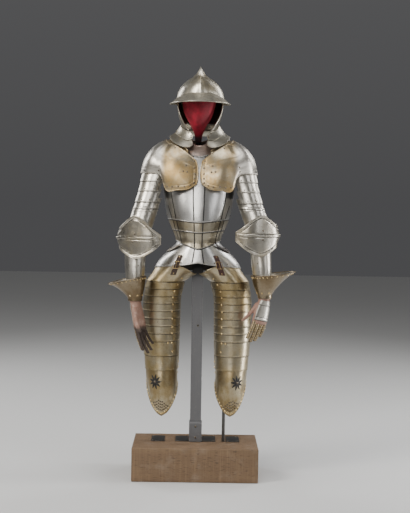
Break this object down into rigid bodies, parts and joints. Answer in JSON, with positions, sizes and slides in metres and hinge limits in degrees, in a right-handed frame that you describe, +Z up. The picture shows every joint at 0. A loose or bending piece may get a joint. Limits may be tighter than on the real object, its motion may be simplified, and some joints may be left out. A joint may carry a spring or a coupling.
{
  "type": "suit of plate armour on display stand",
  "caption": "Hollow steel plate suit with open-faced helmet, broad shoulders and long thigh plates, hung on a post over a wood block. Both elbows turn on rivets.",
  "frame": {"origin": "centre of the base mount on the underside of the wood block, below the suit's middle line", "axes": "+Z up along the post, -Y the way the suit faces, +X towards the suit's own left hand"},
  "size_m": [0.8076, 0.3735, 1.798],
  "materials": {
    "helmet_steel": "old polished steel with a warm brown bloom",
    "body_steel": "polished steel, cooler on the breast and golden at the belly",
    "arm_steel": "polished steel with a straw-coloured patina",
    "gauntlet_steel": "browned steel with gilt rivets",
    "leg_steel": "polished steel with an olive-brown patina",
    "glove_leather": "soft worn leather",
    "strap_leather": "dark waxed strap leather",
    "velvet": "crimson velvet over a smooth form",
    "oak": "dark weathered block",
    "post_paint": "mid-grey painted steel",
    "inlay_iron": "dark iron"
  },
  "bodies": {
    "root": {"base_block": "oak", "base_inlay_1": "inlay_iron", "base_inlay_2": "inlay_iron", "base_inlay_3": "inlay_iron", "base_inlay_4": "inlay_iron", "post": "post_paint", "post_foot": "post_paint", "leg_rod": "inlay_iron", "head_form": "velvet", "skull": "helmet_steel", "cheek_left": "helmet_steel", "cheek_right": "helmet_steel", "neck_upper_left": "helmet_steel", "neck_upper_right": "helmet_steel", "neck_lower_left": "helmet_steel", "neck_lower_right": "helmet_steel", "gorget_front": "body_steel", "gorget_back": "body_steel", "breastplate": "body_steel", "belly_lame_1": "body_steel", "belly_lame_2": "body_steel", "fauld": "body_steel", "backplate": "body_steel", "culet": "body_steel", "pauldron_left": "arm_steel", "shoulder_lame_left": "arm_steel", "arm_lame_1_left": "arm_steel", "arm_lame_2_left": "arm_steel", "arm_lame_3_left": "arm_steel", "upper_cannon_left": "arm_steel", "couter_left": "arm_steel", "pauldron_right": "arm_steel", "shoulder_lame_right": "arm_steel", "arm_lame_1_right": "arm_steel", "arm_lame_2_right": "arm_steel", "arm_lame_3_right": "arm_steel", "upper_cannon_right": "arm_steel", "couter_right": "arm_steel", "hip_plate_left": "leg_steel", "leg_lames_1_left": "leg_steel", "leg_lames_2_left": "leg_steel", "leg_lames_3_left": "leg_steel", "leg_lames_4_left": "leg_steel", "poleyn_left": "leg_steel", "hip_strap_left": "strap_leather", "hip_plate_right": "leg_steel", "leg_lames_1_right": "leg_steel", "leg_lames_2_right": "leg_steel", "leg_lames_3_right": "leg_steel", "leg_lames_4_right": "leg_steel", "poleyn_right": "leg_steel", "hip_strap_right": "strap_leather"},
    "forearm_left": {"lower_cannon_left": "arm_steel", "cuff_left": "gauntlet_steel", "hand_plate_left": "gauntlet_steel", "glove_left": "glove_leather"},
    "forearm_right": {"lower_cannon_right": "arm_steel", "cuff_right": "gauntlet_steel", "hand_plate_right": "gauntlet_steel", "glove_right": "glove_leather"}
  },
  "joints": [
    {"name": "elbow_left", "type": "hinge", "parent": "root", "child": "forearm_left", "pos_m": [0.27, -0.07, 1.048], "axis": [-0.5736, 0.8192, 0], "range_deg": [0, 28]},
    {"name": "elbow_right", "type": "hinge", "parent": "root", "child": "forearm_right", "pos_m": [-0.27, -0.07, 1.03], "axis": [-0.5736, -0.8192, 0], "range_deg": [0, 28]}
  ]
}
